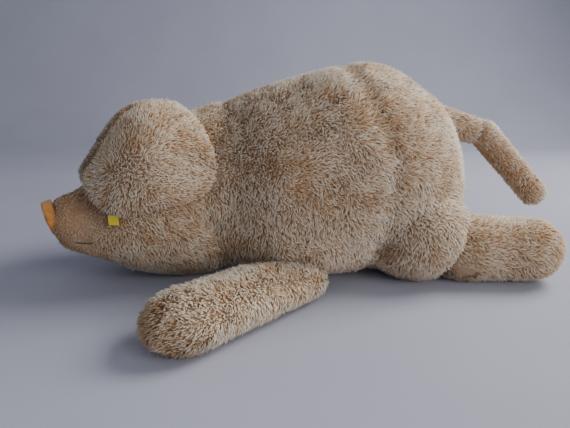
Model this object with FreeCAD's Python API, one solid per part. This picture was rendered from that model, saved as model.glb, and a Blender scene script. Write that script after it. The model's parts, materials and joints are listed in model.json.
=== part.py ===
"""Plush pig lying on its belly, legs stretched out, head turned a little to its left.

Units are millimetres. The snout faces -Y, +Z is up and the pig's left side is +X.
The origin is on the floor, at the middle of the flat of the belly.
Every stuffed part is a core of fibre inside a plush cover, and the covers are split along their seams.
"""
import FreeCAD
import Part
import math
import os

from FreeCAD import Vector

os.makedirs("parts", exist_ok=True)

# ---------------------------------------------------------------- driving dimensions
COVER = 5.0              # plush fabric with its flattened pile
LIMB_COVER = 4.0         # the same on legs and tail
GAP = 0.5                # clearance between bodies that move
SQUARENESS = 2.2         # superellipse power of the body sections
SECTION_POINTS = 16      # points round a body section

# The trunk and head are one run of sections along a spine. The spine lies along -Y, bends to the pig's left
# at the neck and is straight again through the head.
NECK = Vector(0, -60, 0)          # where the spine's two straight runs would meet
HEAD_TURN = 28.0                  # degrees
BEND_RADIUS = 160.0
# Sections: distance along the spine from the origin, lowest z, highest z, half width. The floor cuts off what is
# below 0.
BODY = [
    (-165.0, 60, 80, 5),
    (-162, 46, 100, 24),
    (-154, 33, 122, 42),
    (-142, 18, 144, 57),
    (-126, 6, 161, 69),
    (-105, -1, 176, 79),
    (-80, -5, 184, 86),
    (-45, -6, 182, 89),
    (-5, -6, 171, 87),
    (30, -6, 160, 79),
    (58, -5, 150, 69),
    (85, -4, 144, 64),
    (112, -3, 143, 62),
    (135, 3, 140, 59),
    (152, 10, 127, 52),
    (168, 19, 105, 42),
    (182, 26, 88, 32),
    (197, 35, 80, 24),
    (206, 47, 78, 18),
]
FIRST_HEAD_SECTION = 9
LAST_TORSO_SECTION = 14
NOD_CENTRE = Vector(0, -10, 74)   # the neck's seam lies on a sphere, so the head turns on the trunk's round front
NOD_RADIUS = 90.0
TRUNK_FRONT = -45.0               # ahead of this y only the round front is trunk

# The seam between flank and rump, seen from the side (y, z): an arc through three points, then straight down.
SEAM_ARC = [(42, 190), (79, 130), (80, 34)]
SEAM_FOOT = (66, -20)
GUSSET_HALF_WIDTH = 34.0          # belly gusset
GUSSET_FRONT = -44.0
GUSSET_BACK = 60.0
GUSSET_DEPTH = 12.0

SHOULDER = Vector(90, 8, 18)      # left shoulder; the right one mirrors it
SHOULDER_BALL = 24.5
SHOULDER_ROOM = 25.5              # a front leg swings in a room of this radius, before clearance
FRONT_SPLAY = 45.0                # degrees outwards from straight ahead
FRONT_LENGTH = 132.0              # shoulder centre to the end of the foot
FRONT_WAIST = 25.5
FRONT_FOOT = 27.0
FRONT_FLATNESS = 0.70             # height of a front leg over its width: it lies limp

HAUNCH = Vector(47, 117, 39.5)
HAUNCH_RADIUS = 41.0
HAUNCH_HALF_LENGTH = 47.0
HOCK_REACH = 38.0                 # from the middle of the haunch back to the seam of the lower leg
HOCK_BALL = 28.0                  # its centre is one radius above the floor
# Degrees outwards from straight back: the haunch, then the leg below it. The left leg lies straight back and the
# right one out to the side.
LEFT_HIND = (4.0, 5.0)
RIGHT_HIND = (45.0, 60.0)
HIND_LENGTH = 86.0
HIND_WAIST = 26.5
HIND_FOOT = 26.0
SOLE_DEPTH = 8.0                  # how far the sole panel reaches back from the foot's end

TAIL_ROOT = Vector(0, 142, 137)
TAIL_BEND = Vector(0, 187, 124)
TAIL_END = Vector(0, 242, 67)
TAIL_ROOT_BALL = 12.0
TAIL_BEND_BALL = 11.0
TAIL_RADIUS = 10.8

EAR_GAP = 3.4                     # between the head and the ear's lining
EAR_LINING = 3.2
EAR_OUTER = 5.0
EAR_INNER_EDGE = 15.0             # x of the ear's seam on the crown
# Ear outline seen from the side, in the head's own frame: distance ahead of the neck and z.
EAR_OUTLINE = [
    (36, 132), (47, 150), (68, 158), (90, 154), (102, 137), (116, 112), (123, 92), (118, 79),
    (107, 72), (84, 76), (58, 79), (41, 87), (33, 105),
]

CROWN_FRONT = 146.0               # the crown gusset runs this far ahead of the neck
CROWN_LOW = 66.0                  # and ends at this height on the muzzle
CHIN_BACK = 104.0                 # the chin panel lies between these distances ahead of the neck
CHIN_FRONT = 160.0
CHIN_TOP = 44.0

DISC_CENTRE = (147.0, 62.5)       # ahead of the neck, z
DISC_TILT = 14.0                  # degrees, the face looks a little down
DISC_HALF_HEIGHT = 14.5
DISC_HALF_WIDTH = 18.0
DISC_THICKNESS = 8.0
DISC_EDGE = 2.4
NOSTRIL_OFFSET = 6.5
NOSTRIL_RADII = (1.9, 3.6)
NOSTRIL_THICKNESS = 0.8

MOUTH_START = (150, 50)           # ahead of the neck, z
MOUTH_MIDDLE = (139, 44)
MOUTH_END = (124, 43)
MOUTH_WIDTH = 1.6
MOUTH_HEIGHT = 0.9

EYE_AIM = (70, 106, 100)          # a point outside the head that the left eye faces: x, ahead of the neck, z
EYE_RADIUS = 5.0
EYE_DOME = 2.4
EYE_LIFT = 0.2                    # the dome stands this far off the skin
SHANK_RADIUS = 1.5
SHANK_LENGTH = 13.0
WASHER_RADIUS = 6.0
WASHER_THICKNESS = 1.6

# How far each limb can swing, in degrees. The pieces around it are hollowed to leave it room.
FRONT_SWING = (-15, -7, 0, 20)
HIND_SWING = (-10, 0, 10, 20)
TAIL_SWING = (-15, -7, 0, 10, 20)
BEND_SWING = (-20, -10, 0, 12, 25)
SOCKET_GAP = 1.2                  # round the ball at a limb's root
FAN_GAP = 0.8                     # round the limb itself

TAG_WIDTH = 7.0
TAG_LENGTH = 8.0
TAG_THICKNESS = 0.9
TAG_PLACE = (109.0, 70.0)         # ahead of the neck, z: the tab hangs from the ear's lower front edge

BIG = 400.0                       # larger than the whole toy
LEAST_HALF = 1.0                  # a section drawn in by an inset is never smaller than this
CRUMB = 1.0                       # solids below this many cubic millimetres are left out
FLAT = 0.01                       # how level a round edge has to be to count as a rim


# ---------------------------------------------------------------- helpers
def spine(distance):
    """Point on the floor under the spine, and the heading in degrees, at a distance from the origin."""
    turn = math.radians(HEAD_TURN)
    lead = BEND_RADIUS * math.tan(turn / 2)
    bend_start = -NECK.y - lead
    bend_end = bend_start + BEND_RADIUS * turn
    if distance <= bend_start:
        return Vector(0, -distance, 0), 0.0
    if distance >= bend_end:
        ahead_of_neck = distance - bend_end + lead
        return NECK + Vector(math.sin(turn), -math.cos(turn), 0) * ahead_of_neck, HEAD_TURN
    angle = (distance - bend_start) / BEND_RADIUS
    across = BEND_RADIUS * (1 - math.cos(angle))
    return Vector(across, -bend_start - BEND_RADIUS * math.sin(angle), 0), math.degrees(angle)


def section(distance, low, high, half_width, grow=0.0):
    """Closed superellipse wire across the spine."""
    middle = (low + high) / 2
    half_height = max((high - low) / 2 + grow, LEAST_HALF)
    half_width = max(half_width + grow, LEAST_HALF)
    points = []
    for i in range(SECTION_POINTS):
        a = 2 * math.pi * i / SECTION_POINTS
        c = math.cos(a)
        s = math.sin(a)
        r = (abs(c) ** SQUARENESS + abs(s) ** SQUARENESS) ** (-1 / SQUARENESS)
        points.append(Vector(half_width * r * c, 0, middle + half_height * r * s))
    curve = Part.BSplineCurve()
    curve.interpolate(points, PeriodicFlag=True)
    wire = Part.Wire(curve.toShape())
    place, heading = spine(distance)
    wire.rotate(Vector(0, 0, 0), Vector(0, 0, 1), heading)
    wire.translate(place)
    return wire


def loft(sections, grow=0.0):
    """Solid through the body sections, thickened or thinned by grow."""
    return Part.makeLoft([section(*s, grow=grow) for s in sections], True)


def box(x0, x1, y0, y1, z0, z1):
    return Part.makeBox(x1 - x0, y1 - y0, z1 - z0, Vector(x0, y0, z0))


def above(z):
    return box(-BIG, BIG, -BIG, BIG, z, BIG)


def ball(centre, radius):
    return Part.makeSphere(radius, centre)


def mirrored(shape):
    return shape.mirror(Vector(0, 0, 0), Vector(1, 0, 0))


def turned(shape):
    """From the head's own frame to where the head lies."""
    moved = shape.copy()
    moved.rotate(NECK, Vector(0, 0, 1), HEAD_TURN)
    return moved


def side_prism(outline, x0, x1):
    """Solid whose side view is a smooth closed curve through the outline (y, z), from x0 to x1."""
    curve = Part.BSplineCurve()
    curve.interpolate([Vector(x0, y, z) for y, z in outline], PeriodicFlag=True)
    return Part.Face(Part.Wire(curve.toShape())).extrude(Vector(x1 - x0, 0, 0))


def side_half(side):
    """Everything on the left (1) or on the right (-1) of the middle."""
    return box(min(side * BIG, 0), max(side * BIG, 0), -BIG, BIG, -BIG, BIG)


def revolved(edges, start, direction):
    """Solid of revolution about X from a half outline above it, laid from start along a direction."""
    first = edges[0].firstVertex().Point
    last = edges[-1].lastVertex().Point
    face = Part.Face(Part.Wire(edges + [Part.makeLine(last, first)]))
    solid = face.revolve(Vector(0, 0, 0), Vector(1, 0, 0), 360)
    solid.Placement = FreeCAD.Placement(start, FreeCAD.Rotation(Vector(1, 0, 0), direction))
    return solid


def quarter_round(centre, radius, rising):
    """Quarter circle whose centre is on X: from the axis up, or from the top down to the axis."""
    way = -1 if rising else 1
    slant = radius * math.sqrt(0.5)
    low = Vector(centre + way * radius, 0, 0)
    middle = Vector(centre + way * slant, 0, slant)
    top = Vector(centre, 0, radius)
    return Part.Arc(low, middle, top).toShape() if rising else Part.Arc(top, middle, low).toShape()


def sausage(start, direction, length, root, waist, foot, inset=0.0):
    """Stuffed tube with a ball round start, a waist and a rounded end."""
    root -= inset
    waist -= inset
    foot -= inset
    end = length - inset - foot
    side = Part.BSplineCurve()
    points = [Vector(0, 0, root), Vector(end / 2, 0, waist), Vector(end, 0, foot)]
    level = Vector(1, 0, 0)
    side.interpolate(Points=points, InitialTangent=level, FinalTangent=level)
    edges = [quarter_round(0, root, True), side.toShape(), quarter_round(end, foot, False)]
    return revolved(edges, start, direction)


def save(name, shape):
    """Write one node's STEP file."""
    solids = [s for s in shape.Solids if s.Volume > CRUMB]
    made = solids[0] if len(solids) == 1 else Part.makeCompound(solids)
    made.exportStep(f"parts/{name}.step")
    b = made.BoundBox
    print(f"{name}: {len(solids)} solids, {made.Volume / 1000:.1f} cm3, valid {made.isValid()},"
          f" y {b.YMin:.1f} {b.YMax:.1f} z {b.ZMin:.1f} {b.ZMax:.1f}")


def save_pair(name, left, right=None):
    """Write a node and its twin, which mirrors it unless it is given."""
    save(f"{name}_left", left)
    save(f"{name}_right", mirrored(left) if right is None else right)


# ---------------------------------------------------------------- legs and tail
def heading(splay, backwards=False):
    """Level direction, splayed towards +X from straight ahead or straight back."""
    a = math.radians(splay)
    return Vector(math.sin(a), math.cos(a) if backwards else -math.cos(a), 0)


def flattened(shape, height, flatness):
    """The shape pressed flatter about a level plane."""
    if flatness == 1.0:
        return shape
    press = FreeCAD.Matrix()
    press.scale(1, 1, flatness)
    made = shape.copy()
    made.translate(Vector(0, 0, -height))
    made = made.transformGeometry(press)
    made.translate(Vector(0, 0, height))
    return made


def leg(place, sizes, flatness=1.0):
    """Cover, core and sole of a leg."""
    start, direction = place
    length = sizes[0]
    outer = flattened(sausage(start, direction, *sizes), start.z, flatness).common(above(0))
    core = flattened(sausage(start, direction, *sizes, inset=LIMB_COVER), start.z, flatness)
    core = core.common(above(LIMB_COVER / 2))
    end = start + direction * (length - SOLE_DEPTH)
    half = Part.makeCylinder(BIG, BIG, end, direction)
    shell = outer.cut(core)
    return shell.cut(half), core, shell.common(half)


def swing_room(place, swings, axis, ball_radius):
    """Ball and fan of cylinders that a limb passes through as it swings, with clearance."""
    start, direction = place
    fan = []
    for degrees in swings:
        way = FreeCAD.Rotation(axis, degrees).multVec(direction)
        fan.append(Part.makeCylinder(ball_radius + FAN_GAP, BIG, start, way))
    return ball(start, ball_radius + SOCKET_GAP).fuse(fan)


def hind_leg_place(haunch_splay, leg_splay):
    """Centre of the hock and direction of the lower leg, on the left side."""
    hock = HAUNCH + heading(haunch_splay, backwards=True) * HOCK_REACH
    hock.z = HOCK_BALL
    return hock, heading(leg_splay, backwards=True)


def tail():
    """Covers and cores of the tail's two lengths. The second one's round root sits in the first one's end."""
    base_way, tip_way = tail_ways()
    base_length = (TAIL_BEND - TAIL_ROOT).Length + TAIL_RADIUS
    tip_length = (TAIL_END - TAIL_BEND).Length + TAIL_RADIUS
    base = (TAIL_ROOT, base_way, base_length, TAIL_ROOT_BALL, TAIL_RADIUS, TAIL_RADIUS)
    tip = (TAIL_BEND, tip_way, tip_length, TAIL_BEND_BALL, TAIL_RADIUS, TAIL_RADIUS)
    room = swing_room((TAIL_BEND, tip_way), BEND_SWING, Vector(1, 0, 0), TAIL_BEND_BALL)
    base_core = sausage(*base, inset=LIMB_COVER).cut(room)
    base_cover = sausage(*base).cut(room).cut(base_core)
    tip_core = sausage(*tip, inset=LIMB_COVER)
    tip_cover = sausage(*tip).cut(tip_core)
    return base_cover, base_core, tip_cover, tip_core


def tail_ways():
    """Directions of the tail's two lengths."""
    base_way = (TAIL_BEND - TAIL_ROOT).normalize()
    tip_way = (TAIL_END - TAIL_BEND).normalize()
    return base_way, tip_way


# ---------------------------------------------------------------- torso
def seam_prism():
    """Everything behind the curved seam between flank and rump."""
    top, bend, low = [Vector(-BIG, y, z) for y, z in SEAM_ARC]
    foot = Vector(-BIG, *SEAM_FOOT)
    back = Vector(-BIG, BIG, foot.z)
    corner = Vector(-BIG, BIG, top.z)
    edges = [Part.Arc(top, bend, low).toShape()]
    for a, b in ((low, foot), (foot, back), (back, corner), (corner, top)):
        edges.append(Part.makeLine(a, b))
    return Part.Face(Part.Wire(edges)).extrude(Vector(2 * BIG, 0, 0))


def haunch_bulge(inset, splay):
    """Egg shape of the left thigh."""
    egg = Part.Ellipse(Vector(0, 0, 0), HAUNCH_HALF_LENGTH - inset, HAUNCH_RADIUS - inset)
    egg.rotate(FreeCAD.Placement(Vector(0, 0, 0), FreeCAD.Rotation(Vector(1, 0, 0), 90)))
    half = Part.ArcOfEllipse(egg, 0, math.pi).toShape()
    return revolved([half], HAUNCH, heading(splay, backwards=True))


def cut_all(shape, tools):
    """The shape with every tool taken out of it."""
    for tool in tools:
        shape = shape.cut(tool)
    return shape


def torso(trunk_rooms, hind_rooms):
    """The trunk's core and panels, with the haunches sewn to it."""
    sections = BODY[:LAST_TORSO_SECTION]
    outer = loft(sections).common(above(0))
    inner = loft(sections, -COVER).common(above(COVER))
    inner = inner.common(box(-BIG, BIG, -BIG, -BODY[0][0] - COVER, -BIG, BIG))
    behind = box(-BIG, BIG, TRUNK_FRONT, BIG, -BIG, BIG)
    room = behind.fuse(ball(NOD_CENTRE, NOD_RADIUS))
    outer = outer.common(room)
    inner = inner.common(room)
    shell = cut_all(outer.cut(inner), trunk_rooms)
    inner = cut_all(inner, trunk_rooms)
    rump = seam_prism()
    gusset = box(-GUSSET_HALF_WIDTH, GUSSET_HALF_WIDTH, GUSSET_FRONT, GUSSET_BACK, -COVER, GUSSET_DEPTH)
    flank = shell.cut(rump).cut(gusset)
    hip = shell.common(rump).cut(gusset)
    save("torso_stuffing", inner)
    save("belly_gusset", shell.common(gusset))
    save_pair("flank_panel", flank.common(side_half(1)), flank.common(side_half(-1)))
    save_pair("rump_panel", hip.common(side_half(1)), hip.common(side_half(-1)))
    haunches(outer, hind_rooms)


def haunches(trunk, hind_rooms):
    """Both thighs: each bulge outside the trunk, less the room its lower leg swings in."""
    for name, (splay, _) in (("left", LEFT_HIND), ("right", RIGHT_HIND)):
        haunch = haunch_bulge(0, splay).common(above(0))
        thigh = haunch_bulge(COVER, splay).common(above(COVER))
        if name == "right":
            haunch = mirrored(haunch)
            thigh = mirrored(thigh)
        haunch = haunch.cut(trunk).cut(hind_rooms[name])
        thigh = thigh.cut(trunk).cut(hind_rooms[name])
        save(f"haunch_cover_{name}", haunch.cut(thigh))
        save(f"haunch_stuffing_{name}", thigh)


# ---------------------------------------------------------------- head
def ahead(q, z, x=0.0):
    """A point in the head's own frame, which is turned about the neck to where the head lies."""
    return Vector(x, NECK.y - q, z)


def disc(centre, half_width, half_height, thickness, edge=0.0):
    """Flat oval whose back face is on centre and whose face looks ahead and a little down."""
    oval = Part.Ellipse(Vector(0, 0, 0), max(half_width, half_height), min(half_width, half_height))
    solid = Part.Face(Part.Wire(oval.toShape())).extrude(Vector(0, 0, thickness))
    if half_height > half_width:
        solid.rotate(Vector(0, 0, 0), Vector(0, 0, 1), 90)
    if edge:
        level = [e for e in solid.Edges if e.BoundBox.ZLength < FLAT]
        solid = solid.makeFillet(edge, [e for e in level if e.BoundBox.ZMin > thickness - FLAT])
    solid.rotate(Vector(0, 0, 0), Vector(1, 0, 0), 90 + DISC_TILT)
    solid.translate(centre)
    return solid


def eye_parts(skin, side):
    """Eye with its shank, its washer, and the room that they need, on the skin of the turned head."""
    x, q, z = EYE_AIM
    aim = turned(Part.Vertex(ahead(q, z, side * x))).Point
    spot = skin.distToShape(Part.Vertex(aim))[1][0][0]
    out = (aim - spot).normalize()
    turn = FreeCAD.Rotation(Vector(0, 0, 1), out)
    dome = ball(Vector(0, 0, 0), EYE_RADIUS).common(box(-BIG, BIG, -BIG, BIG, 0, BIG))
    scale = FreeCAD.Matrix()
    scale.scale(1, 1, EYE_DOME / EYE_RADIUS)
    dome = dome.transformGeometry(scale)
    dome.translate(Vector(0, 0, EYE_LIFT))
    shank = Part.makeCylinder(SHANK_RADIUS, SHANK_LENGTH, Vector(0, 0, 2 * EYE_LIFT - SHANK_LENGTH))
    washer_low = -COVER - WASHER_THICKNESS
    washer = Part.makeCylinder(WASHER_RADIUS, WASHER_THICKNESS, Vector(0, 0, washer_low))
    washer = washer.cut(Part.makeCylinder(SHANK_RADIUS, 2 * BIG, Vector(0, 0, -BIG)))
    room = Part.makeCylinder(SHANK_RADIUS, 2 * SHANK_LENGTH, Vector(0, 0, -SHANK_LENGTH))
    room = room.fuse(Part.makeCylinder(WASHER_RADIUS, WASHER_THICKNESS, Vector(0, 0, washer_low)))
    place = FreeCAD.Placement(spot, turn)
    eye = dome.fuse(shank)
    for shape in (eye, washer, room):
        shape.Placement = place
    return eye, washer, room


def ear(side):
    """Outer panel and lining of one ear, lying on the turned head."""
    lifted = EAR_GAP + EAR_LINING
    skins = [loft(BODY[FIRST_HEAD_SECTION:], g) for g in (EAR_GAP, lifted, lifted + EAR_OUTER)]
    outline = side_prism([(NECK.y - q, z) for q, z in EAR_OUTLINE], side * EAR_INNER_EDGE, side * BIG)
    outline = turned(outline)
    lining = skins[1].cut(skins[0]).common(outline)
    outer = skins[2].cut(skins[1]).common(outline)
    return outer, lining


def head():
    """The head's filling, eyes and panels, then the snout, the mouth and the ears on it."""
    sections = BODY[FIRST_HEAD_SECTION:]
    skin = loft(sections).common(above(0))
    core = loft(sections, -COVER).common(above(COVER))
    front = box(-BIG, BIG, NECK.y - DISC_CENTRE[0] + COVER, BIG, -BIG, BIG)
    core = core.common(turned(front))
    nape = ball(NOD_CENTRE, NOD_RADIUS + GAP).fuse(box(-BIG, BIG, TRUNK_FRONT - GAP, BIG, -BIG, BIG))
    shell = skin.cut(core).cut(nape)
    core = core.cut(nape)

    for side, name in ((1, "left"), (-1, "right")):
        eye, washer, room = eye_parts(skin, side)
        shell, core = shell.cut(room), core.cut(room)
        save(f"eye_{name}", eye)
        save(f"eye_washer_{name}", washer)

    gusset = turned(box(-EAR_INNER_EDGE, EAR_INNER_EDGE, NECK.y - CROWN_FRONT, BIG, CROWN_LOW, BIG))
    chin = turned(box(-BIG, BIG, NECK.y - CHIN_FRONT, NECK.y - CHIN_BACK, -BIG, CHIN_TOP))
    sides = shell.cut(gusset).cut(chin)
    save("head_stuffing", core)
    save("crown_gusset", shell.common(gusset))
    save("chin_panel", shell.common(chin))
    save_pair("cheek_panel", sides.common(turned(side_half(1))), sides.common(turned(side_half(-1))))
    snout(skin)
    mouth(skin)
    ears()


def snout(skin):
    """The oval disc on the end of the muzzle and the two nostril patches on it."""
    plate = disc(ahead(*DISC_CENTRE), DISC_HALF_WIDTH, DISC_HALF_HEIGHT, DISC_THICKNESS, DISC_EDGE)
    save("snout_disc", turned(plate).cut(skin))
    tilt = math.radians(DISC_TILT)
    face = ahead(*DISC_CENTRE) + Vector(0, -math.cos(tilt), -math.sin(tilt)) * DISC_THICKNESS
    spots = []
    for x in (-NOSTRIL_OFFSET, NOSTRIL_OFFSET):
        spots.append(disc(face + Vector(x, 0, 0), *NOSTRIL_RADII, NOSTRIL_THICKNESS))
    save("nostril_patches", turned(Part.makeCompound(spots)))


def mouth(skin):
    """Raised line of stitching on each side of the muzzle."""
    raised = loft(BODY[FIRST_HEAD_SECTION:], MOUTH_HEIGHT).cut(skin)
    line = Part.Arc(ahead(*MOUTH_START), ahead(*MOUTH_MIDDLE), ahead(*MOUTH_END)).toShape()
    strip = line.extrude(Vector(0, 0, MOUTH_WIDTH)).extrude(Vector(BIG, 0, 0))
    strip = strip.fuse(mirrored(strip))
    strip = strip.cut(box(-BIG, BIG, -BIG, NECK.y - DISC_CENTRE[0] + 1, -BIG, BIG))
    save("mouth_stitch", raised.common(turned(strip)))


def ears():
    """Both ears, and the tab on the left one."""
    for side, name in ((1, "left"), (-1, "right")):
        outer, lining = ear(side)
        save(f"ear_outer_{name}", outer)
        save(f"ear_lining_{name}", lining)
        if side == 1:
            save("ear_tab", ear_tab(outer))


def ear_tab(outer):
    """Small plain ribbon tab sewn into the left ear's lower edge."""
    q, z = TAG_PLACE
    front = NECK.y - q - TAG_WIDTH / 2
    low = box(0, BIG, front, front + TAG_WIDTH, z - TAG_LENGTH, z)
    sections = BODY[FIRST_HEAD_SECTION:]
    strip = loft(sections, EAR_GAP + EAR_LINING + TAG_THICKNESS).cut(loft(sections, EAR_GAP + EAR_LINING))
    return strip.common(turned(low)).cut(outer)


# ---------------------------------------------------------------- the toy
up = Vector(0, 0, 1)
leg_pieces = ("cover", "stuffing", "sole")

front_place = (SHOULDER, heading(FRONT_SPLAY))
front = leg(front_place, (FRONT_LENGTH, SHOULDER_BALL, FRONT_WAIST, FRONT_FOOT), FRONT_FLATNESS)
front_room = swing_room(front_place, FRONT_SWING, up, SHOULDER_ROOM)
front_room = flattened(front_room, SHOULDER.z, FRONT_FLATNESS)

hind_sizes = (HIND_LENGTH, HOCK_BALL, HIND_WAIST, HIND_FOOT)
hind_places = {"left": hind_leg_place(*LEFT_HIND), "right": hind_leg_place(*RIGHT_HIND)}
hind_left = leg(hind_places["left"], hind_sizes)
hind_right = leg(hind_places["right"], hind_sizes)
swings = [-degrees for degrees in HIND_SWING]
hind_rooms = {
    "left": swing_room(hind_places["left"], swings, up, HOCK_BALL),
    "right": mirrored(swing_room(hind_places["right"], swings, up, HOCK_BALL)),
}

tail_room = swing_room((TAIL_ROOT, tail_ways()[0]), TAIL_SWING, Vector(1, 0, 0), TAIL_ROOT_BALL)

trunk_rooms = [front_room, mirrored(front_room), tail_room, hind_rooms["left"], hind_rooms["right"]]
torso(trunk_rooms, hind_rooms)
head()
for i, piece in enumerate(leg_pieces):
    save_pair(f"front_leg_{piece}", front[i])
    save_pair(f"hind_leg_{piece}", hind_left[i], mirrored(hind_right[i]))
tail_names = ("tail_base_cover", "tail_base_stuffing", "tail_tip_cover", "tail_tip_stuffing")
for tail_name, tail_shape in zip(tail_names, tail()):
    save(tail_name, tail_shape)
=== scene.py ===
"""Plush pig lying on its belly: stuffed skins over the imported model's solids, covered with combed pile."""

import json
import math

import bmesh
import bpy
import numpy as np
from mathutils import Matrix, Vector
from mathutils.bvhtree import BVHTree
from mathutils.kdtree import KDTree


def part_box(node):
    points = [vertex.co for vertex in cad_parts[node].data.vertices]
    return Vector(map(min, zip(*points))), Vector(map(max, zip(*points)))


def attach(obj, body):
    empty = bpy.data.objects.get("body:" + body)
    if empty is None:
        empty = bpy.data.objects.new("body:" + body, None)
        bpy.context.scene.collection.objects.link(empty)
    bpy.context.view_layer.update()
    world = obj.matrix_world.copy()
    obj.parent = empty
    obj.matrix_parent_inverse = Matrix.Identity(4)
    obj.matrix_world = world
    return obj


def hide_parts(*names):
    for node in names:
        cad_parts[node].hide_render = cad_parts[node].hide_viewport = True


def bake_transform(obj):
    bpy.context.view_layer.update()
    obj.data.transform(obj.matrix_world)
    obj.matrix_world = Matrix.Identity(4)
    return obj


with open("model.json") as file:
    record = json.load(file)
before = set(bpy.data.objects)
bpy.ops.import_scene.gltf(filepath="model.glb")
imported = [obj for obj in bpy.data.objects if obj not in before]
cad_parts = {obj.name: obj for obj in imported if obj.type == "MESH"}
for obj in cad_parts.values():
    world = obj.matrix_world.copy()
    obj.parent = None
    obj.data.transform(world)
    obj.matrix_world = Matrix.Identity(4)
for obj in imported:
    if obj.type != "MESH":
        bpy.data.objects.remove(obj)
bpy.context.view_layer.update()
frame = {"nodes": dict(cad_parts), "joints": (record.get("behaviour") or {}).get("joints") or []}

MM = 0.001
SIDES = ("left", "right")
NODES = frame["nodes"]
HINGES = {joint["name"]: Vector(joint["pos_m"]) for joint in frame["joints"]}

# The head, and where the skin and pile change over from trunk to head.
HEAD_TURN = math.radians(28.0)
AHEAD = Vector((math.sin(HEAD_TURN), -math.cos(HEAD_TURN), 0.0))     # the way the head faces
HEAD_LEFT = Vector((math.cos(HEAD_TURN), math.sin(HEAD_TURN), 0.0))
NECK = Vector((0.0, -60.0 * MM, 0.0))

# Each kind of skin: size of its voxels, the most it may puff out, how far it first shrinks to make room
# for that, what share of a seam's depth shows, and how high the lumps of its filling are.
BODY_SKIN = dict(voxel=5 * MM, cap=5 * MM, inset=1.0 * MM, seam_scale=1.0, lump=2.2 * MM)
LEG_SKIN = dict(voxel=4 * MM, cap=3 * MM, inset=0.6 * MM, seam_scale=0.4, lump=1.2 * MM)
TAIL_SKIN = dict(voxel=2.5 * MM, cap=3 * MM, inset=0.6 * MM, seam_scale=0.4, lump=0.5 * MM)
EAR_SKIN = dict(voxel=2.5 * MM, cap=2.5 * MM, inset=0.2 * MM, seam_scale=0.1, lump=0.8 * MM)
CLOTH_STEPS = 20
BROAD_LUMP = 42 * MM
SMALL_LUMP = 19 * MM
SMALL_LUMP_SHARE = 0.45

# Seams: how far one draws the skin in, and how wide the groove is on either side.
SEAM_WIDTH = 2.6 * MM
WIDTH_PER_DEPTH = 0.7        # a deeper seam has a wider groove
GROOVE_END = 3               # widths from the seam, where nothing is left of the groove
SEAM_DEPTH = 1.2 * MM
DEEP_SEAMS = {               # seams that draw the skin in further, by the kinds of panel they join
    ("flank", "rump"): 2.8 * MM,
    ("flank", "haunch"): 6.5 * MM,
    ("cheek", "flank"): 2.4 * MM,
}

# The flank hangs out over each front leg's root, and the root is pressed flatter under it.
SAG_REACH = 15 * MM
SAG_HEIGHT = 22 * MM         # above the floor, where it hangs out most
SAG_DEPTH = 20 * MM          # how far above and below that it fades out
SAG_BEHIND = 6 * MM          # how far behind the shoulder its middle is
SAG_LENGTH = 38 * MM
SAG_START, SAG_FULL = 30 * MM, 60 * MM          # out from the toy's middle
ROOT_PRESS = 0.25
PRESS_START, PRESS_FULL = -50 * MM, 5 * MM      # back from the shoulder, so the start is out on the leg

# The muzzle is pushed out against the snout's disc, and each ear has a dimple that its pile turns round.
MUZZLE_PUSH = 3.0 * MM
PUSH_START, PUSH_FULL = 128 * MM, 142 * MM      # ahead of the neck
EAR_DIMPLE = 6.5 * MM
DIMPLE_AHEAD, DIMPLE_OUT, DIMPLE_DOWN = 42, 16, 9      # mm, from the middle of the ear

# Pile: strands with three flat sides, wide at the root and pointed at the tip.
SEED = 7
PILE_LENGTH = 5.2 * MM
STRAND_SPACING = 1.3 * MM
SIDES_OF_STRAND = 3
STRAND_WIDTH = 0.95 * MM
STRAND_RISE = 0.70           # of its length, how much a strand stands up off the skin
FLOOR_CLEARANCE = 0.4 * MM
POINTS_PER_CELL = 2.2        # scattered, so that few cells are left without one
BARE_HEIGHT = 0.8 * MM       # skin lower than this that faces down lies on the floor and has no pile
BARE_FACING = -0.7

# How a strand is placed and shaped, and how much one differs from the next.
ROOT_STRAY = 0.62            # of the spacing, how far a root may be from its even place
MIDDLE_STRAY, TIP_STRAY = 0.15, 0.3             # of that, what the middle and the tip keep
ROOT_SINK = 0.3              # mm, how far inside the skin a root starts
BEND = 0.16                  # of its length, how far the middle bows up, and about how far to a side
HALF_LEAST, HALF_MOST = 0.38, 0.62              # of the width, from a strand's middle to its side
MIDDLE_WIDTH = 0.85          # of the width at the root
LEAN_VARIES = 0.2
LENGTH_VARIES = 0.2
WEAR_LEAST, WEAR_MOST = -0.16, 0.1              # a second change of length, more often shorter
RISE_VARIES = 0.25
TURN_VARIES = 0.3
TONE_VARIES = 0.2

# Where a strand lies on its map, a little inside the edges.
LEAST_TONE, MOST_TONE = 0.02, 0.98
TONE_WIDTH = 0.01            # keeps a strand's place on the map from being a line
ROOT_PLACE, MIDDLE_PLACE, TIP_PLACE = 0.02, 0.55, 0.98

# The pile is shorter on the muzzle, by the mouth's stitching, by the ears, on the tail and under the ears.
MUZZLE_START, MUZZLE_FULL = 98 * MM, 128 * MM   # ahead of the neck
MUZZLE_SHORTER = 0.46
EAR_REACH, EAR_SHORTER = 11 * MM, 0.6
MOUTH_REACH, MOUTH_SHORTER = 4 * MM, 0.85
TAIL_LENGTH_SHARE = 0.8
LINING_LENGTH_SHARE = 0.4
LINING_FACING = -0.15
EAR_SPACING_SHARE = 0.95
LEAST_LENGTH_SHARE, PATCHY_SHARE = 0.88, 0.24   # uneven pile over the body, in patches
LENGTH_PATCH = 30 * MM

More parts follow.
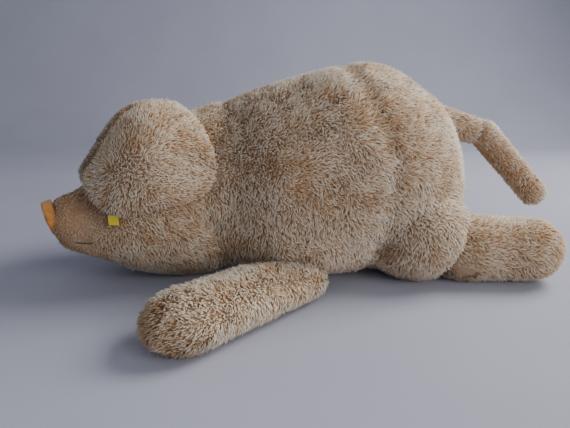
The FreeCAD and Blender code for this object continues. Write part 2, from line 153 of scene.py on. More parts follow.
# It is also browner on the muzzle, partly its own colour and partly painted shade, and at the feet, and
# darker by the ears as painted shade under them, over patches of cream and rust.
LEAST_RUST, MOST_RUST = 0.02, 0.76
# browner muzzle: partly the pile's own brown, partly painted shade
MUZZLE_RUST_AND_SHADE = 0.55
# painted shade: the body pile under and beside the ears is pushed towards rust brown
EAR_PAINTED_SHADE = 0.7
FOOT_RUST = 0.45
FOOT_START, FOOT_FULL = 22 * MM, 2 * MM         # back from the end of the leg
PATCH_SIZE, PATCH_SHARE = 24 * MM, 0.36
MOTTLE_SIZE, MOTTLE_SHARE = 8 * MM, 0.30
FINE_SIZE, FINE_SHARE = 3.0 * MM, 0.34
RUST_START, RUST_FULL = 0.34, 0.72

# Which way it is combed.
COMB_LOW = np.array([0.0, 0.15, -1.0])          # near the floor
COMB_HIGH = np.array([0.0, 0.9, -0.55])         # on the back
COMB_START, COMB_FULL = 20 * MM, 120 * MM
HEAD_DROOP = -0.35
HEAD_START, HEAD_FULL = 50 * MM, 90 * MM        # forward of the toy's middle, where the comb changes over
LEG_DROOP, TAIL_DROOP = 0.35, 0.0
SWIRL_SIZE, SWIRL_TURN = 26 * MM, 1.7
CURL_SIZE, CURL_TURN = 7 * MM, 2.3
EAR_CURL = 0.7
EAR_DROOP = (-AHEAD.x * 0.4, -AHEAD.y * 0.4, -0.5)      # back and down

# Which noise each thing takes.
SEEDS = {"swirl": 5, "curl": 9, "length": 21, "body rust": 31, "limb rust": 41, "ear rust": 51,
         "broad lump": 61, "small lump": 62}


# ---------------------------------------------------------------- small tools
SEED_SHIFT = 17.31                                  # moves each seed's noise to another place
HASH_X, HASH_Y, HASH_Z = 73856093, 19349663, 83492791
HASH_MIX = 1274126177
HASH_SEED = 101


def noise(points, size, seed):
    """Smooth value noise from 0 to 1 at each point, with blobs about `size` across."""
    q = points / size + seed * SEED_SHIFT
    cell = np.floor(q).astype(np.int64)
    f = q - cell
    f = f * f * (3 - 2 * f)
    total = np.zeros(len(points))
    for dx in (0, 1):
        for dy in (0, 1):
            for dz in (0, 1):
                h = (cell[:, 0] + dx) * HASH_X
                h = h ^ (cell[:, 1] + dy) * HASH_Y
                h = h ^ (cell[:, 2] + dz) * HASH_Z
                h = (h ^ (h >> 13)) * HASH_MIX + seed * HASH_SEED
                value = ((h ^ (h >> 16)) & 0xFFFF) / 0xFFFF
                weight = np.where(dx, f[:, 0], 1 - f[:, 0])
                weight = weight * np.where(dy, f[:, 1], 1 - f[:, 1])
                weight = weight * np.where(dz, f[:, 2], 1 - f[:, 2])
                total += value * weight
    return total


def unit(vectors):
    return vectors / np.maximum(np.linalg.norm(vectors, axis=1, keepdims=True), 1e-9)


def smoothstep(x, low, high):
    """0 up to `low`, 1 from `high` on, and a smooth rise between them."""
    t = np.clip((x - low) / (high - low), 0, 1)
    return t * t * (3 - 2 * t)


def new_object(name, mesh):
    obj = bpy.data.objects.new(name, mesh)
    bpy.context.scene.collection.objects.link(obj)
    return obj


def vertex_array(mesh):
    out = np.empty(len(mesh.vertices) * 3, np.float32)
    mesh.vertices.foreach_get("co", out)
    return out.reshape(-1, 3).astype(np.float64)


def put_vertices(mesh, points):
    mesh.vertices.foreach_set("co", points.astype(np.float32).ravel())
    mesh.update()


def vertex_normals(mesh):
    out = np.empty(len(mesh.vertices) * 3, np.float32)
    mesh.vertex_normals.foreach_get("vector", out)
    return out.reshape(-1, 3).astype(np.float64)


def bake_modifiers(obj):
    """Replaces the object's mesh with what its modifiers make of it."""
    graph = bpy.context.evaluated_depsgraph_get()
    mesh = bpy.data.meshes.new_from_object(obj.evaluated_get(graph))
    obj.modifiers.clear()
    old = obj.data
    obj.data = mesh
    bpy.data.meshes.remove(old)
    return obj


def largest_part(mesh):
    """Deletes all but the piece of mesh with the most faces."""
    bm = bmesh.new()
    bm.from_mesh(mesh)
    left = set(bm.verts)
    best = []
    while left:
        seed = left.pop()
        found, edge = [seed], [seed]
        while edge:
            v = edge.pop()
            for e in v.link_edges:
                w = e.other_vert(v)
                if w in left:
                    left.remove(w)
                    found.append(w)
                    edge.append(w)
        if len(found) > len(best):
            best = found
    keep = set(best)
    bmesh.ops.delete(bm, geom=[v for v in bm.verts if v not in keep], context="VERTS")
    bm.to_mesh(mesh)
    bm.free()


def merged(name, nodes, voxel):
    """One closed skin round these CAD nodes, as a voxel remesh."""
    bm = bmesh.new()
    for node in nodes:
        bm.from_mesh(NODES[node].data)
    mesh = bpy.data.meshes.new(name)
    bm.to_mesh(mesh)
    bm.free()
    obj = new_object(name, mesh)
    remesh = obj.modifiers.new("remesh", "REMESH")
    remesh.mode = "VOXEL"
    remesh.voxel_size = voxel
    bake_modifiers(obj)
    largest_part(obj.data)
    return obj


def relax(obj, times):
    smooth = obj.modifiers.new("relax", "SMOOTH")
    smooth.factor = 0.5
    smooth.iterations = times
    return bake_modifiers(obj)


def tree_of(nodes):
    """One search tree over several CAD nodes, and the node of each of its faces."""
    points, faces, owner = [], [], []
    for node in nodes:
        mesh = NODES[node].data
        start = len(points)
        points += [v.co.copy() for v in mesh.vertices]
        faces += [[start + i for i in p.vertices] for p in mesh.polygons]
        owner += [node] * len(mesh.polygons)
    return BVHTree.FromPolygons(points, faces), owner


# ---------------------------------------------------------------- skins
def inflate(obj, pinned, cap):
    """Cloth under pressure, as the filling pushes the fabric out between its seams, by `cap` at most."""
    rest = vertex_array(obj.data)
    group = obj.vertex_groups.new(name="seams")
    group.add([int(i) for i in pinned], 1.0, "REPLACE")
    cloth = obj.modifiers.new("cloth", "CLOTH")
    cloth.settings.quality = 4
    cloth.settings.mass = 0.2
    cloth.settings.use_pressure = True
    cloth.settings.uniform_pressure_force = 3.0
    cloth.settings.tension_stiffness = 12
    cloth.settings.compression_stiffness = 12
    cloth.settings.shear_stiffness = 6
    cloth.settings.bending_stiffness = 0.6
    cloth.settings.vertex_group_mass = "seams"
    cloth.settings.effector_weights.gravity = 0.0
    cloth.point_cache.frame_start = 1
    cloth.point_cache.frame_end = CLOTH_STEPS
    scene = bpy.context.scene
    for step in range(1, CLOTH_STEPS + 1):
        scene.frame_set(step)
    bake_modifiers(obj)
    scene.frame_set(1)
    moved = vertex_array(obj.data) - rest
    size = np.linalg.norm(moved, axis=1, keepdims=True)
    moved *= np.minimum(1.0, cap / np.maximum(size, 1e-9))
    put_vertices(obj.data, rest + moved)
    return obj


def lay_on_floor(obj):
    """Flattens what lies below the floor."""
    points = vertex_array(obj.data)
    points[:, 2] = np.maximum(points[:, 2], 0.0)
    put_vertices(obj.data, points)


def seam_vertices(mesh, tree, owner):
    """Vertices on the border between two panels, and how deep the seam is at each."""
    panel = [owner[tree.find_nearest(v.co)[2]] for v in mesh.vertices]
    border = {}
    for edge in mesh.edges:
        a, b = edge.vertices
        if panel[a] != panel[b]:
            kinds = tuple(sorted(panel[i].split("_")[0] for i in (a, b)))
            border[a] = border[b] = DEEP_SEAMS.get(kinds, SEAM_DEPTH)
    return sorted(border), [border[i] for i in sorted(border)]


def draw_in(obj, places, depths):
    """Presses the skin in at some places, as stitching pulls at the filling."""
    seam = KDTree(len(places))
    for i, place in enumerate(places):
        seam.insert(place, i)
    seam.balance()
    points, normals = vertex_array(obj.data), vertex_normals(obj.data)
    for i, point in enumerate(points):
        _, nearest, distance = seam.find(point)
        width = SEAM_WIDTH + depths[nearest] * WIDTH_PER_DEPTH
        if distance < GROOVE_END * width:
            points[i] -= normals[i] * depths[nearest] * math.exp(-(distance / width) ** 2)
    put_vertices(obj.data, points)


def lumps(obj, height):
    """Uneven filling under the skin."""
    points, normals = vertex_array(obj.data), vertex_normals(obj.data)
    raised = noise(points, BROAD_LUMP, SEEDS["broad lump"]) - 0.5
    raised += (noise(points, SMALL_LUMP, SEEDS["small lump"]) - 0.5) * SMALL_LUMP_SHARE
    put_vertices(obj.data, points + normals * (raised * 2 * height)[:, None])


def skin(name, covers, fillings, voxel, cap, inset, seam_scale, lump):
    """Stuffed skin round covers and fillings, puffed out between the seams where two covers meet."""
    obj = merged(name, covers + fillings, voxel)
    relax(obj, 3)
    tree, owner = tree_of(covers)
    border, depths = seam_vertices(obj.data, tree, owner)
    points, normals = vertex_array(obj.data), vertex_normals(obj.data)
    points -= normals * inset
    put_vertices(obj.data, points)
    seam = [tuple(points[i]) for i in border]
    inflate(obj, border, cap)
    relax(obj, 1)
    subdivide = obj.modifiers.new("subdivide", "SUBSURF")
    subdivide.levels = 1
    bake_modifiers(obj)
    lumps(obj, lump)
    if seam:
        draw_in(obj, seam, [depth * seam_scale for depth in depths])
    lay_on_floor(obj)
    for polygon in obj.data.polygons:
        polygon.use_smooth = True
    return obj


# ---------------------------------------------------------------- pile
CELL_KEY = np.array([1000003, 10007, 1])            # makes one number of a cell's three


def scatter(mesh, spacing, random):
    """Points spread evenly over a mesh, one in each cell of a grid, with the skin's normal at each."""
    mesh.calc_loop_triangles()
    corners = np.empty(len(mesh.loop_triangles) * 3, np.int32)
    mesh.loop_triangles.foreach_get("vertices", corners)
    corners = corners.reshape(-1, 3)
    points, normals = vertex_array(mesh), vertex_normals(mesh)
    a, b, c = (points[corners[:, i]] for i in range(3))
    area = np.linalg.norm(np.cross(b - a, c - a), axis=1) / 2
    count = int(area.sum() / spacing ** 2 * POINTS_PER_CELL)
    pick = random.choice(len(area), count, p=area / area.sum())
    u, v = random.random(count), random.random(count)
    flip = u + v > 1
    u[flip], v[flip] = 1 - u[flip], 1 - v[flip]
    w = 1 - u - v
    chosen = corners[pick]
    where = sum(points[chosen[:, i]] * k[:, None] for i, k in enumerate((w, u, v)))
    facing = unit(sum(normals[chosen[:, i]] * k[:, None] for i, k in enumerate((w, u, v))))
    cell = np.floor(where / spacing).astype(np.int64)
    key = cell @ CELL_KEY
    _, first = np.unique(key, return_index=True)
    first.sort()
    return where[first], facing[first]


def inside_any(points, trees):
    """True for each point that lies inside one of the closed skins."""
    hit = np.zeros(len(points), bool)
    for low, high, tree in trees:
        near = np.all((points > low) & (points < high), axis=1)
        for i in np.nonzero(near & ~hit)[0]:
            place, normal, _, _ = tree.find_nearest(Vector(points[i]))
            if place is not None and (Vector(points[i]) - place).dot(normal) < 0:
                hit[i] = True
    return hit


def closed_tree(obj):
    """The lowest and highest corner of a skin's box, and a search tree over the skin."""
    points = vertex_array(obj.data)
    tree = BVHTree.FromPolygons([tuple(p) for p in points], [tuple(p.vertices) for p in obj.data.polygons])
    return points.min(axis=0), points.max(axis=0), tree


def pile(name, where, facing, comb, length, rust, random):
    """Mesh of pointed strands, one at each point, that lean the way the comb says."""
    count = len(where)
    comb = unit(comb - facing * np.sum(comb * facing, axis=1, keepdims=True))
    side = np.cross(facing, comb)
    lean = unit(comb + side * random.normal(0, LEAN_VARIES, (count, 1)))
    long = length * (1 + random.uniform(-LENGTH_VARIES, LENGTH_VARIES, count))
    long = long * (1 + random.uniform(WEAR_LEAST, WEAR_MOST, count))
    rise = STRAND_RISE * (1 + random.uniform(-RISE_VARIES, RISE_VARIES, count))
    angle = random.uniform(0, 2 * math.pi, count)
    stray = np.sqrt(random.random(count)) * STRAND_SPACING * ROOT_STRAY
    stray = (lean * np.cos(angle)[:, None] + side * np.sin(angle)[:, None]) * stray[:, None]
    root = where + stray - facing * ROOT_SINK * MM
    way = facing * rise[:, None] + lean * np.sqrt(1 - rise ** 2)[:, None]
    tip = where + stray * TIP_STRAY + way * long[:, None]
    bend = side * random.normal(0, BEND, count)[:, None] + facing * BEND
    middle = root * 0.5 + tip * 0.5 + bend * long[:, None] + stray * MIDDLE_STRAY
    axis = unit(tip - root)
    turn = random.uniform(-TURN_VARIES, TURN_VARIES, count)
    across = unit(np.cross(axis, facing) + lean * turn[:, None])
    up = np.cross(axis, across)
    half = (STRAND_WIDTH * random.uniform(HALF_LEAST, HALF_MOST, count))[:, None]
    turns = [2 * math.pi * i / SIDES_OF_STRAND for i in range(SIDES_OF_STRAND)]
    ring = [across * math.cos(a) + up * math.sin(a) for a in turns]
    rows = [root + r * half for r in ring] + [middle + r * half * MIDDLE_WIDTH for r in ring] + [tip]
    points = np.stack(rows, axis=1)
    points[:, :, 2] = np.maximum(points[:, :, 2], FLOOR_CLEARANCE)
    normals = [unit(facing * 0.8 + r * 0.8) for r in ring] * 2 + [unit(facing + axis * 0.3)]
    tone = np.clip(rust + random.normal(0, TONE_VARIES, count), LEAST_TONE, MOST_TONE)
    tones = [tone + TONE_WIDTH * math.cos(a) for a in turns] * 2 + [tone]
    heights = [ROOT_PLACE] * SIDES_OF_STRAND + [MIDDLE_PLACE] * SIDES_OF_STRAND + [TIP_PLACE]
    return strand_object(name, points, normals, tones, heights)


def strand_object(name, points, normals, tones, heights):
    """One mesh of many strands, each a root ring, a middle ring and a tip.

    Its map holds each vertex's tone, from cream to rust, and its height, from root to tip.
    """
    total, corners, _ = points.shape
    n = SIDES_OF_STRAND
    walls = [[i, (i + 1) % n, n + (i + 1) % n, n + i] for i in range(n)]
    tips = [[n + i, n + (i + 1) % n, 2 * n] for i in range(n)]
    loops = np.array(sum(walls + tips, []))
    starts = np.concatenate([np.arange(n) * 4, 4 * n + np.arange(n) * 3])
    strand = np.arange(total)[:, None]
    loop_vertices = (strand * corners + loops).ravel()
    mesh = bpy.data.meshes.new(name)
    mesh.vertices.add(total * corners)
    mesh.vertices.foreach_set("co", points.astype(np.float32).ravel())
    mesh.loops.add(len(loop_vertices))
    mesh.loops.foreach_set("vertex_index", loop_vertices.astype(np.int32))
    mesh.polygons.add(total * 2 * n)
    mesh.polygons.foreach_set("loop_start", (strand * len(loops) + starts).ravel().astype(np.int32))
    mesh.update(calc_edges=True)
    u = np.stack(tones, axis=1)
    v = np.tile(np.array(heights), (total, 1))
    uv = np.stack([u, v], axis=2).reshape(-1, 2)[loop_vertices]
    layer = mesh.uv_layers.new(name="OFBake")
    layer.data.foreach_set("uv", uv.astype(np.float32).ravel())
    mesh.polygons.foreach_set("use_smooth", np.ones(total * 2 * n, bool))
    normals = np.stack(normals, axis=1).reshape(-1, 3)
    mesh.normals_split_custom_set_from_vertices(normals.astype(np.float32).tolist())
    return new_object(name, mesh)


# ---------------------------------------------------------------- which way the pile lies
def turned_about(direction, facing, angle):
    """Directions turned in the skin's plane by an angle each."""
    side = np.cross(facing, direction)
    return direction * np.cos(angle)[:, None] + side * np.sin(angle)[:, None]


def curl(points):
    """How far the pile turns from its comb, in radians: broad swirls, small curls."""
    swirl = (noise(points, SWIRL_SIZE, SEEDS["swirl"]) - 0.5) * SWIRL_TURN
    return swirl + (noise(points, CURL_SIZE, SEEDS["curl"]) - 0.5) * CURL_TURN


def head_weight(points):
    """0 on the trunk, 1 on the head, blending over the neck."""
    return smoothstep(-points[:, 1], HEAD_START, HEAD_FULL)


def body_comb(points, facing):
    """Back and down over the trunk and head, more down and forward towards the belly."""
    height = smoothstep(points[:, 2], COMB_START, COMB_FULL)[:, None]
    trunk = COMB_LOW * (1 - height) + COMB_HIGH * height
    head = np.array([-AHEAD.x, -AHEAD.y, HEAD_DROOP])
    w = head_weight(points)[:, None]
    comb = trunk * (1 - w) + head * w
    comb = unit(comb - facing * np.sum(comb * facing, axis=1, keepdims=True))
    return turned_about(comb, facing, curl(points))


def limb_comb(direction, droop):
    """Along a limb towards its end, drooping a little."""
    def comb(points, facing):
        way = np.array(direction) + np.array([0.0, 0.0, -droop])
        way = np.tile(way, (len(points), 1))
        way = unit(way - facing * np.sum(way * facing, axis=1, keepdims=True))
        return turned_about(way, facing, curl(points))
    return comb


def ear_comb(centre, droop):
    """Away from the dimple near the ear's front edge, and down."""
    def comb(points, facing):
        way = unit(points - np.array(centre)) + np.array(droop)
        way = unit(way - facing * np.sum(way * facing, axis=1, keepdims=True))
        return turned_about(way, facing, curl(points) * EAR_CURL)
    return comb


def rustiness(points, seed):
    """How much of the rust brown shows: patches, over a finer mottle."""
    patches = noise(points, PATCH_SIZE, seed)
    mottle = noise(points, MOTTLE_SIZE, seed + 1)
    fine = noise(points, FINE_SIZE, seed + 2)
    value = PATCH_SHARE * patches + MOTTLE_SHARE * mottle + FINE_SHARE * fine
    return LEAST_RUST + (MOST_RUST - LEAST_RUST) * smoothstep(value, RUST_START, RUST_FULL)


# ---------------------------------------------------------------- materials
def material(name, roughness, sheen=0.0, specular=0.3):
    made = bpy.data.materials.new(name)
    made.use_nodes = True
    shader = made.node_tree.nodes["Principled BSDF"]
    shader.inputs["Roughness"].default_value = roughness
    shader.inputs["Specular IOR Level"].default_value = specular
    shader.inputs["Sheen Weight"].default_value = sheen
    return made, made.node_tree, shader


def ramp(tree, source, stops):
    """Colour ramp of a value, from stops of a place and a colour."""
    node = tree.nodes.new("ShaderNodeValToRGB")
    while len(node.color_ramp.elements) < len(stops):
        node.color_ramp.elements.new(0.5)
    for element, (place, colour) in zip(node.color_ramp.elements, stops):
        element.position = place
        element.color = (*colour, 1.0)
    tree.links.new(source, node.inputs[0])
    return node.outputs[0]


MIX_A, MIX_B, MIX_RESULT = 6, 7, 2                  # the mix node's sockets for colours


def mix(tree, factor, a, b):
    """Colour between a and b."""
    node = tree.nodes.new("ShaderNodeMix")
    node.data_type = "RGBA"
    tree.links.new(factor, node.inputs[0])
    tree.links.new(a, node.inputs[MIX_A])
    tree.links.new(b, node.inputs[MIX_B])
    return node.outputs[MIX_RESULT]


def texture(tree, scale, detail=3.0, distortion=0.0):
    """Procedural noise over the object, with `scale` blobs to the metre."""
    where = tree.nodes.new("ShaderNodeTexCoord")
    node = tree.nodes.new("ShaderNodeTexNoise")
    node.inputs["Scale"].default_value = scale
    node.inputs["Detail"].default_value = detail
    node.inputs["Distortion"].default_value = distortion
    tree.links.new(where.outputs["Object"], node.inputs["Vector"])
    return node.outputs["Fac"]


def bump(tree, shader, height, distance):
    node = tree.nodes.new("ShaderNodeBump")
    node.inputs["Strength"].default_value = 0.6
    node.inputs["Distance"].default_value = distance
    tree.links.new(height, node.inputs["Height"])
    tree.links.new(node.outputs[0], shader.inputs["Normal"])


# Colours of a strand from root to tip, darker at the root: partly the fibre's own colour, partly painted
# shade down among the strands.
CREAM_STRAND = [(0.0, (0.44, 0.28, 0.15)), (0.45, (0.74, 0.60, 0.44)), (1.0, (0.95, 0.88, 0.75))]
RUST_STRAND = [(0.0, (0.24, 0.11, 0.04)), (0.45, (0.46, 0.26, 0.12)), (1.0, (0.74, 0.53, 0.32))]


def pile_material(name):
    """Strand colour: the map's first axis runs from cream to rust, its second from root to tip."""
    made, tree, shader = material(name, roughness=0.85, sheen=0.25, specular=0.15)
    where = tree.nodes.new("ShaderNodeUVMap")
    where.uv_map = "OFBake"
    parts = tree.nodes.new("ShaderNodeSeparateXYZ")
    tree.links.new(where.outputs[0], parts.inputs[0])
    tone, height = parts.outputs[0], parts.outputs[1]
    cream = ramp(tree, height, CREAM_STRAND)
    rust = ramp(tree, height, RUST_STRAND)
    tree.links.new(mix(tree, tone, cream, rust), shader.inputs["Base Color"])
    return made


def backing_material(name):
    """Woven ground of the plush, seen between the strands."""
    made, tree, shader = material(name, roughness=0.9, sheen=0.2, specular=0.1)
    blotches = texture(tree, scale=60.0)
    colour = ramp(tree, blotches, [(0.35, (0.38, 0.23, 0.13)), (0.65, (0.52, 0.36, 0.23))])
    tree.links.new(colour, shader.inputs["Base Color"])
    bump(tree, shader, texture(tree, scale=900.0, detail=2.0), distance=0.6 * MM)
    return made


def felt_material(name, dark, light, scale, grain):
    """Two close colours in blotches, with a fine grain: felt, thread, fibre, ribbon or dull plastic."""
    made, tree, shader = material(name, roughness=0.8, sheen=0.3, specular=0.2)
    blotches = texture(tree, scale, detail=5.0, distortion=0.6)
    tree.links.new(ramp(tree, blotches, [(0.3, dark), (0.7, light)]), shader.inputs["Base Color"])
    bump(tree, shader, texture(tree, grain, detail=4.0), distance=0.3 * MM)
    return made


def dress(obj, made):
    obj.data.materials.clear()
    obj.data.materials.append(made)
    return obj


PILE = pile_material("plush_pile")
BACKING = backing_material("plush_backing")
SUEDE = felt_material("snout_suede", (0.42, 0.15, 0.03), (0.68, 0.30, 0.07), scale=120.0, grain=1500.0)
NOSTRIL = felt_material("nostril_felt", (0.05, 0.025, 0.015), (0.13, 0.07, 0.04), scale=300.0, grain=2000.0)
THREAD = felt_material("stitch_thread", (0.05, 0.03, 0.02), (0.13, 0.08, 0.05), scale=700.0, grain=3000.0)
FIBRE = felt_material("filling_fibre", (0.75, 0.73, 0.68), (0.9, 0.88, 0.83), scale=200.0, grain=900.0)
RIBBON = felt_material("tab_ribbon", (0.72, 0.55, 0.02), (0.92, 0.74, 0.06), scale=90.0, grain=2500.0)
EYE = felt_material("eye_plastic", (0.02, 0.010, 0.006), (0.05, 0.025, 0.012), scale=60.0, grain=400.0)
WASHER = felt_material("washer_plastic", (0.72, 0.72, 0.70), (0.86, 0.86, 0.84), scale=100.0, grain=800.0)
EYE.node_tree.nodes["Principled BSDF"].inputs["Roughness"].default_value = 0.12     # glossy

for node, obj in NODES.items():
    if "stuffing" in node:
        dress(obj, FIBRE)
    elif node == "snout_disc":
        dress(obj, SUEDE)
    elif node == "nostril_patches":
        dress(obj, NOSTRIL)
    elif node == "mouth_stitch":
        dress(obj, THREAD)
    elif node == "ear_tab":
        dress(obj, RIBBON)
    elif node.startswith("eye_washer"):
        dress(obj, WASHER)
    elif node.startswith("eye_"):
        dress(obj, EYE)
    else:
        dress(obj, BACKING)


# ---------------------------------------------------------------- body
HEAD_COVERS = ["crown_gusset", "chin_panel", "cheek_panel_left", "cheek_panel_right"]
TRUNK_COVERS = ["belly_gusset"]
for part in ("flank_panel", "rump_panel", "haunch_cover"):
    TRUNK_COVERS += [f"{part}_{side}" for side in SIDES]
BODY_COVERS = TRUNK_COVERS + HEAD_COVERS
BODY_FILLINGS = ["torso_stuffing", "head_stuffing", "haunch_stuffing_left", "haunch_stuffing_right"]
UP_WEIGHT = 0.6                                     # how far facing up counts as facing outwards


def sag(obj, shoulder):
    """Lets the flank hang over the root of a front leg."""
    points = vertex_array(obj.data)
    out = math.copysign(1.0, shoulder.x)
    along = np.exp(-((points[:, 1] - shoulder.y - SAG_BEHIND) / SAG_LENGTH) ** 2)
    high = np.exp(-((points[:, 2] - SAG_HEIGHT) / SAG_DEPTH) ** 2)
    outside = smoothstep(points[:, 0] * out, SAG_START, SAG_FULL)
    points[:, 0] += out * SAG_REACH * along * high * outside
    put_vertices(obj.data, points)


def fill_muzzle(obj):
    """Pushes the end of the muzzle forward against the snout's disc."""
    points = vertex_array(obj.data)
    ahead = (points - np.array(NECK)) @ np.array(AHEAD)
    points += np.array(AHEAD) * (MUZZLE_PUSH * smoothstep(ahead, PUSH_START, PUSH_FULL))[:, None]
    put_vertices(obj.data, points)


def press_root(obj, start, way):
    """Presses the root of a front leg flat under the trunk."""
    points = vertex_array(obj.data)
    along = (points - np.array(start)) @ np.array(way)
    points[:, 2] *= 1 - ROOT_PRESS * smoothstep(-along, PRESS_START, PRESS_FULL)
    put_vertices(obj.data, points)


def node_middle(node):
    low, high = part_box(node)
    return (Vector(low) + Vector(high)) / 2


body_skin = skin("body_skin", BODY_COVERS, BODY_FILLINGS, **BODY_SKIN)
for side in SIDES:
    sag(body_skin, HINGES[f"shoulder_{side}"])
fill_muzzle(body_skin)

# Legs and tail, each as: name, body it grows from, own body, covers, fillings, hinge and way it points.
LIMBS = []
for side in SIDES:
    for limb, joint in (("front_leg", "shoulder"), ("hind_leg", "hip")):
        own = f"{limb}_{side}"
        start = HINGES[f"{joint}_{side}"]
        way = node_middle(f"{limb}_sole_{side}") - start
        way.z = 0.0
        covers = [f"{limb}_cover_{side}", f"{limb}_sole_{side}"]
        LIMBS.append((own, "trunk", own, covers, [f"{limb}_stuffing_{side}"], start, way.normalized()))
way = HINGES["tail_bend"] - HINGES["tail_lift"]
LIMBS.append(("tail_base", "trunk", "tail_base", ["tail_base_cover"], ["tail_base_stuffing"],
              HINGES["tail_lift"], way.normalized()))
way = node_middle("tail_tip_cover") - HINGES["tail_bend"]
LIMBS.append(("tail_tip", "tail_base", "tail_tip", ["tail_tip_cover"], ["tail_tip_stuffing"],
              HINGES["tail_bend"], way.normalized()))

LIMB_SKINS = {}
for name, _, _, covers, fillings, start, way in LIMBS:
    kind = TAIL_SKIN if name.startswith("tail") else LEG_SKIN
    LIMB_SKINS[name] = skin(f"{name}_skin", covers, fillings, **kind)
    if name.startswith("front"):
        press_root(LIMB_SKINS[name], start, way)

EAR_SKINS = {}
for side in SIDES:
    EAR_SKINS[side] = skin(f"ear_{side}_skin", [f"ear_outer_{side}", f"ear_lining_{side}"], [], **EAR_SKIN)

random = np.random.default_rng(SEED)


def grow(name, where, facing, comb_of, length, rust, replaced):
    """Adds one piece of pile with its material, in place of some of the CAD's covers."""
    piece = pile(name, where, facing, comb_of(where, facing), length, rust, random)
    dress(piece, PILE)
    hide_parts(*replaced)
    return piece


def near(points, trees, reach):
    """1 for each point at one of the skins, falling to 0 at `reach` from it."""
    out = np.zeros(len(points))
    for _, _, tree in trees:
        for i, point in enumerate(points):
            distance = tree.find_nearest(Vector(point), reach)[3]
            if distance is not None:
                out[i] = max(out[i], 1 - distance / reach)
    return out


def has_pile(where, facing, trees):
    """False for each point inside another skin or under the toy on the floor."""
    on_floor = (where[:, 2] < BARE_HEIGHT) & (facing[:, 2] < BARE_FACING)
    return ~inside_any(where, trees) & ~on_floor


def cover_body():
    """Pile of the trunk and head, one piece for each panel."""
    where, facing = scatter(body_skin.data, STRAND_SPACING, random)
    ahead = np.array([(Vector(p) - NECK).dot(AHEAD) for p in where])
    by_snout = smoothstep(ahead, MUZZLE_START, MUZZLE_FULL)
    by_ear = near(where, [closed_tree(ear) for ear in EAR_SKINS.values()], EAR_REACH)
    by_mouth = near(where, [closed_tree(NODES["mouth_stitch"])], MOUTH_REACH)
    length = PILE_LENGTH * (1 - MUZZLE_SHORTER * by_snout)
    length *= LEAST_LENGTH_SHARE + PATCHY_SHARE * noise(where, LENGTH_PATCH, SEEDS["length"])
    length *= (1 - EAR_SHORTER * by_ear) * (1 - MOUTH_SHORTER * by_mouth)
    keep = has_pile(where, facing, [closed_tree(limb) for limb in LIMB_SKINS.values()])
    where, facing, length = where[keep], facing[keep], length[keep]
    # Near the ears the pile is darkened as painted shade, and on the muzzle partly as painted shade; the rest
    # is the pile's own rust.
    rust = rustiness(where, SEEDS["body rust"]) + MUZZLE_RUST_AND_SHADE * by_snout[keep] + EAR_PAINTED_SHADE * by_ear[keep]
    rust = np.clip(rust, 0, 1)
    tree, owner = tree_of(BODY_COVERS)
    panel = np.array([owner[tree.find_nearest(Vector(p))[2]] for p in where])
    for cover in BODY_COVERS:
        mine = panel == cover
        if not mine.any():
            continue
        piece = grow(f"{cover}_pile", where[mine], facing[mine], body_comb, length[mine], rust[mine], [cover])
        if cover in HEAD_COVERS or cover.startswith("flank") or cover == "belly_gusset":
            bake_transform(piece)
        else:
            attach(piece, "trunk")
    dress(body_skin, BACKING)
    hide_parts("torso_stuffing", "head_stuffing", "haunch_stuffing_left", "haunch_stuffing_right")
    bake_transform(body_skin)


def cover_limb(name, parent, own, covers, fillings, start, way):
    """Pile of a leg or of one length of the tail."""
    piece = LIMB_SKINS[name]
    is_tail = name.startswith("tail")
    others = [closed_tree(body_skin)]
    if is_tail:
        others += [closed_tree(s) for n, s in LIMB_SKINS.items() if n.startswith("tail") and n != name]
    where, facing = scatter(piece.data, STRAND_SPACING, random)
    keep = has_pile(where, facing, others)
    where, facing = where[keep], facing[keep]
    length = np.full(len(where), PILE_LENGTH * (TAIL_LENGTH_SHARE if is_tail else 1.0))
    rust = rustiness(where, SEEDS["limb rust"])
    if not is_tail:
        along = (where - np.array(start)) @ np.array(way)
        end = along.max()
        rust = rust + FOOT_RUST * smoothstep(along, end - FOOT_START, end - FOOT_FULL)
    comb = limb_comb(way, TAIL_DROOP if is_tail else LEG_DROOP)
    fur = grow(f"{name}_pile", where, facing, comb, length, np.clip(rust, 0, 1), covers)
    dress(piece, BACKING)
    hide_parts(*fillings)
    for part in (piece, fur):
        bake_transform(part)


def ear_swirl(side, sign):
    """The point near the ear's front edge that its pile turns round."""
    low, high = (np.array(c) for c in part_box(f"ear_outer_{side}"))
    middle = (low + high) / 2
    swirl = middle + np.array(AHEAD) * DIMPLE_AHEAD * MM + np.array(HEAD_LEFT) * sign * DIMPLE_OUT * MM
    return swirl - np.array([0, 0, DIMPLE_DOWN * MM])


def cover_ear(side):
    """Dimple and pile of an ear, with the pile shorter on the lining."""
    sign = 1 if side == "left" else -1
    piece = EAR_SKINS[side]
    swirl = ear_swirl(side, sign)
    draw_in(piece, [tuple(swirl)], [EAR_DIMPLE])
    where, facing = scatter(piece.data, STRAND_SPACING * EAR_SPACING_SHARE, random)
    outer = facing @ np.array(HEAD_LEFT * sign) + facing[:, 2] * UP_WEIGHT > LINING_FACING
    length = np.where(outer, PILE_LENGTH, PILE_LENGTH * LINING_LENGTH_SHARE)
    fur = grow(f"ear_{side}_pile", where, facing, ear_comb(swirl, EAR_DROOP), length,
               rustiness(where, SEEDS["ear rust"]), [f"ear_outer_{side}"])
    dress(piece, BACKING)
    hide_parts(f"ear_lining_{side}")
    for part in (piece, fur):
        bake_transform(part)


cover_body()
for limb in LIMBS:
    cover_limb(*limb)
for side in SIDES:
    cover_ear(side)


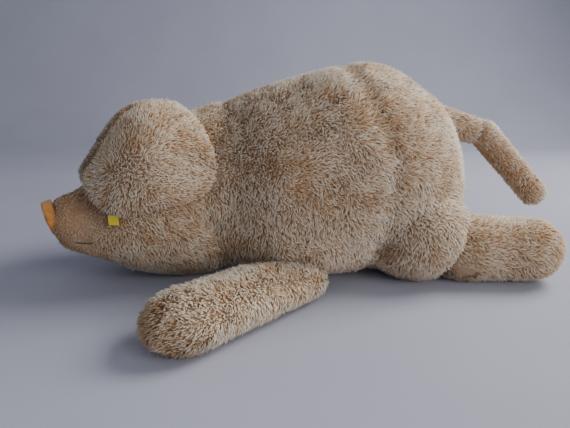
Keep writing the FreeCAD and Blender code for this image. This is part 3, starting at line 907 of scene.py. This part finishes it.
# ---------------------------------------------------------------- floor, light and camera
FLOOR_COLOUR = (0.44, 0.45, 0.54)
LIT_POINT = (0.0, 0.02, 0.08)                       # what the lights are turned towards
ROOM_COLOUR = (0.80, 0.84, 0.95, 1.0)
ROOM_STRENGTH = 0.34
CAMERA_PLACE = (0.43, 0.0, 0.162)
CAMERA_TILT = 15.2                                  # degrees down from level
FOCAL_LENGTH, SENSOR_WIDTH = 28.4, 36.0             # mm


def stage_material(name, colour):
    """Plain paint with a faint unevenness."""
    made, tree, shader = material(name, roughness=0.75, specular=0.25)
    dark, light = (tuple(c * k for c in colour) for k in (0.97, 1.03))
    paint = ramp(tree, texture(tree, scale=6.0), [(0.3, dark), (0.7, light)])
    tree.links.new(paint, shader.inputs["Base Color"])
    return made


def make_floor():
    """Floor that curves up into a backdrop behind the toy."""
    half, front, back, radius, top = 3.0, 2.0, -0.9, 0.5, 3.0
    start, steps = 0.1, 12       # the curve's first angle, and how many points it has
    outline = [(front, 0.0), (back, 0.0)]
    for angle in np.linspace(start, math.pi / 2, steps):
        outline.append((back - radius * math.sin(angle), radius - radius * math.cos(angle)))
    outline.append((back - radius, top))
    points = [(x, y, z) for x, z in outline for y in (-half, half)]
    faces = [(2 * i, 2 * i + 1, 2 * i + 3, 2 * i + 2) for i in range(len(outline) - 1)]
    mesh = bpy.data.meshes.new("floor")
    mesh.from_pydata(points, [], faces)
    for polygon in mesh.polygons:
        polygon.use_smooth = True
    floor = new_object("floor", mesh)
    dress(floor, stage_material("floor_paint", FLOOR_COLOUR))


def area_light(name, place, size, power, colour):
    lamp = bpy.data.lights.new(name, "AREA")
    lamp.size = size
    lamp.energy = power
    lamp.color = colour
    obj = new_object(name, lamp)
    obj.location = place
    obj.rotation_euler = (Vector(LIT_POINT) - Vector(place)).to_track_quat("-Z", "Y").to_euler()


make_floor()
area_light("key", (-0.25, 0.95, 0.95), size=0.7, power=18.0, colour=(1.0, 0.98, 0.94))
area_light("fill", (1.0, 1.05, 0.5), size=0.8, power=10.0, colour=(1.0, 0.97, 0.95))
area_light("side", (0.4, -1.2, 0.7), size=1.0, power=0.5, colour=(0.85, 0.9, 1.0))
world = bpy.data.worlds.new("room")
world.use_nodes = True
background = world.node_tree.nodes["Background"]
background.inputs["Color"].default_value = ROOM_COLOUR
background.inputs["Strength"].default_value = ROOM_STRENGTH
bpy.context.scene.world = world

camera = bpy.data.cameras.new("camera")
camera.sensor_width = SENSOR_WIDTH
camera.lens = FOCAL_LENGTH
eye = new_object("camera", camera)
eye.location = CAMERA_PLACE
eye.rotation_euler = (math.radians(90.0 - CAMERA_TILT), 0.0, math.radians(90.0))
bpy.context.scene.camera = eye
